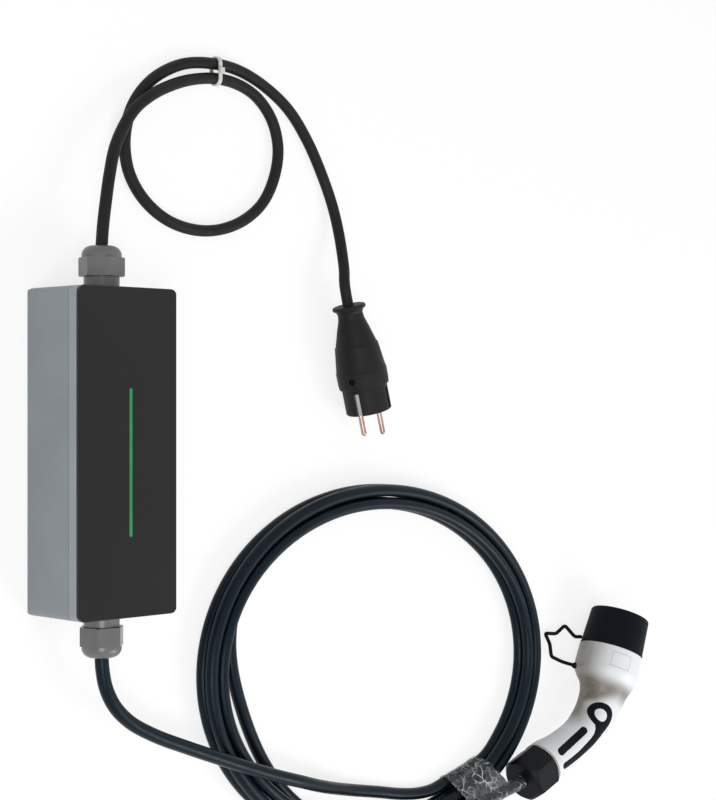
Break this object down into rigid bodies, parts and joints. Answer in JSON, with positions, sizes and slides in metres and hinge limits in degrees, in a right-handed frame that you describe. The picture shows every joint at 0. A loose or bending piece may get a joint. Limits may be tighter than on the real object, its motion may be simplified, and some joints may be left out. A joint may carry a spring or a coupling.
{
  "type": "portable ev charger",
  "caption": "Portable charger for an electric car: a grey control box with a light bar, a supply cord with a round plug and a coiled cord with a bent, capped vehicle connector.",
  "frame": {"origin": "middle of the control box's back, on the floor", "axes": "+Z out of the front panel, +Y along the box towards its supply cord, +X across the box towards the side where the coil lies"},
  "size_m": [0.7589, 0.7106, 0.07],
  "materials": {
    "case_grey": "satin bluish grey",
    "panel_black": "gloss black",
    "light_green": "clear green",
    "board_green": "solder mask",
    "seal_black": "matt",
    "screw_steel": "plain",
    "relay_blue": "moulded",
    "sensor_ring": "coated ferrite",
    "module_grey": "potted",
    "varistor_blue": "dipped",
    "terminal_green": "moulded",
    "core_brown": "wire insulation",
    "gland_grey": "satin nylon",
    "cord_black": "matt",
    "tie_white": "nylon",
    "plug_rubber": "matt",
    "plug_block": "moulded",
    "pin_brass": "plated",
    "earth_steel": "bright",
    "vehicle_black": "satin bluish black",
    "film_clear": "clear stretch film",
    "handle_white": "gloss",
    "insert_black": "moulded",
    "contact_silver": "silver plated",
    "nut_black": "moulded",
    "inlay_black": "satin",
    "cap_black": "matt bluish black"
  },
  "bodies": {
    "charger": {"rear_case": "case_grey", "front_frame": "case_grey", "front_panel": "panel_black", "light_guide": "light_green", "light_board": "board_green", "cover_gasket": "seal_black", "case_screws": "screw_steel", "main_board": "board_green", "board_screws": "screw_steel", "power_relays": "relay_blue", "current_sensor": "sensor_ring", "power_module": "module_grey", "surge_varistor": "varistor_blue", "mains_terminal": "terminal_green", "vehicle_terminal": "terminal_green", "supply_cores": "core_brown", "vehicle_cores": "core_brown", "supply_gland_washer": "seal_black", "supply_gland_body": "gland_grey", "supply_gland_nut": "gland_grey", "supply_gland_seal": "seal_black", "supply_gland_locknut": "gland_grey", "vehicle_gland_washer": "seal_black", "vehicle_gland_body": "gland_grey", "vehicle_gland_nut": "gland_grey", "vehicle_gland_seal": "seal_black", "vehicle_gland_locknut": "gland_grey", "supply_cord": "cord_black", "cord_tie": "tie_white", "plug_shell": "plug_rubber", "plug_face": "plug_block", "plug_pins": "pin_brass", "plug_earth_strips": "earth_steel", "plug_screw": "screw_steel", "vehicle_cord_lead": "vehicle_black", "vehicle_coil": "vehicle_black", "coil_wrap": "film_clear", "vehicle_cord_tail": "vehicle_black", "handle_shell_upper": "handle_white", "handle_shell_lower": "handle_white", "handle_screws": "screw_steel", "contact_insert": "insert_black", "power_contacts": "contact_silver", "signal_contacts": "contact_silver", "rear_nut": "nut_black", "cable_seal": "seal_black", "grip_inlay_ring": "inlay_black", "grip_inlay_bar": "inlay_black", "cap_tether": "cap_black"},
    "cap": {"dust_cap": "cap_black"}
  },
  "joints": [
    {"name": "cap_slide", "type": "slide", "parent": "charger", "child": "cap", "axis": [0.4067, 0.9135, 0], "range_m": [0, 0.06], "deforming": ["cap_tether"]}
  ]
}
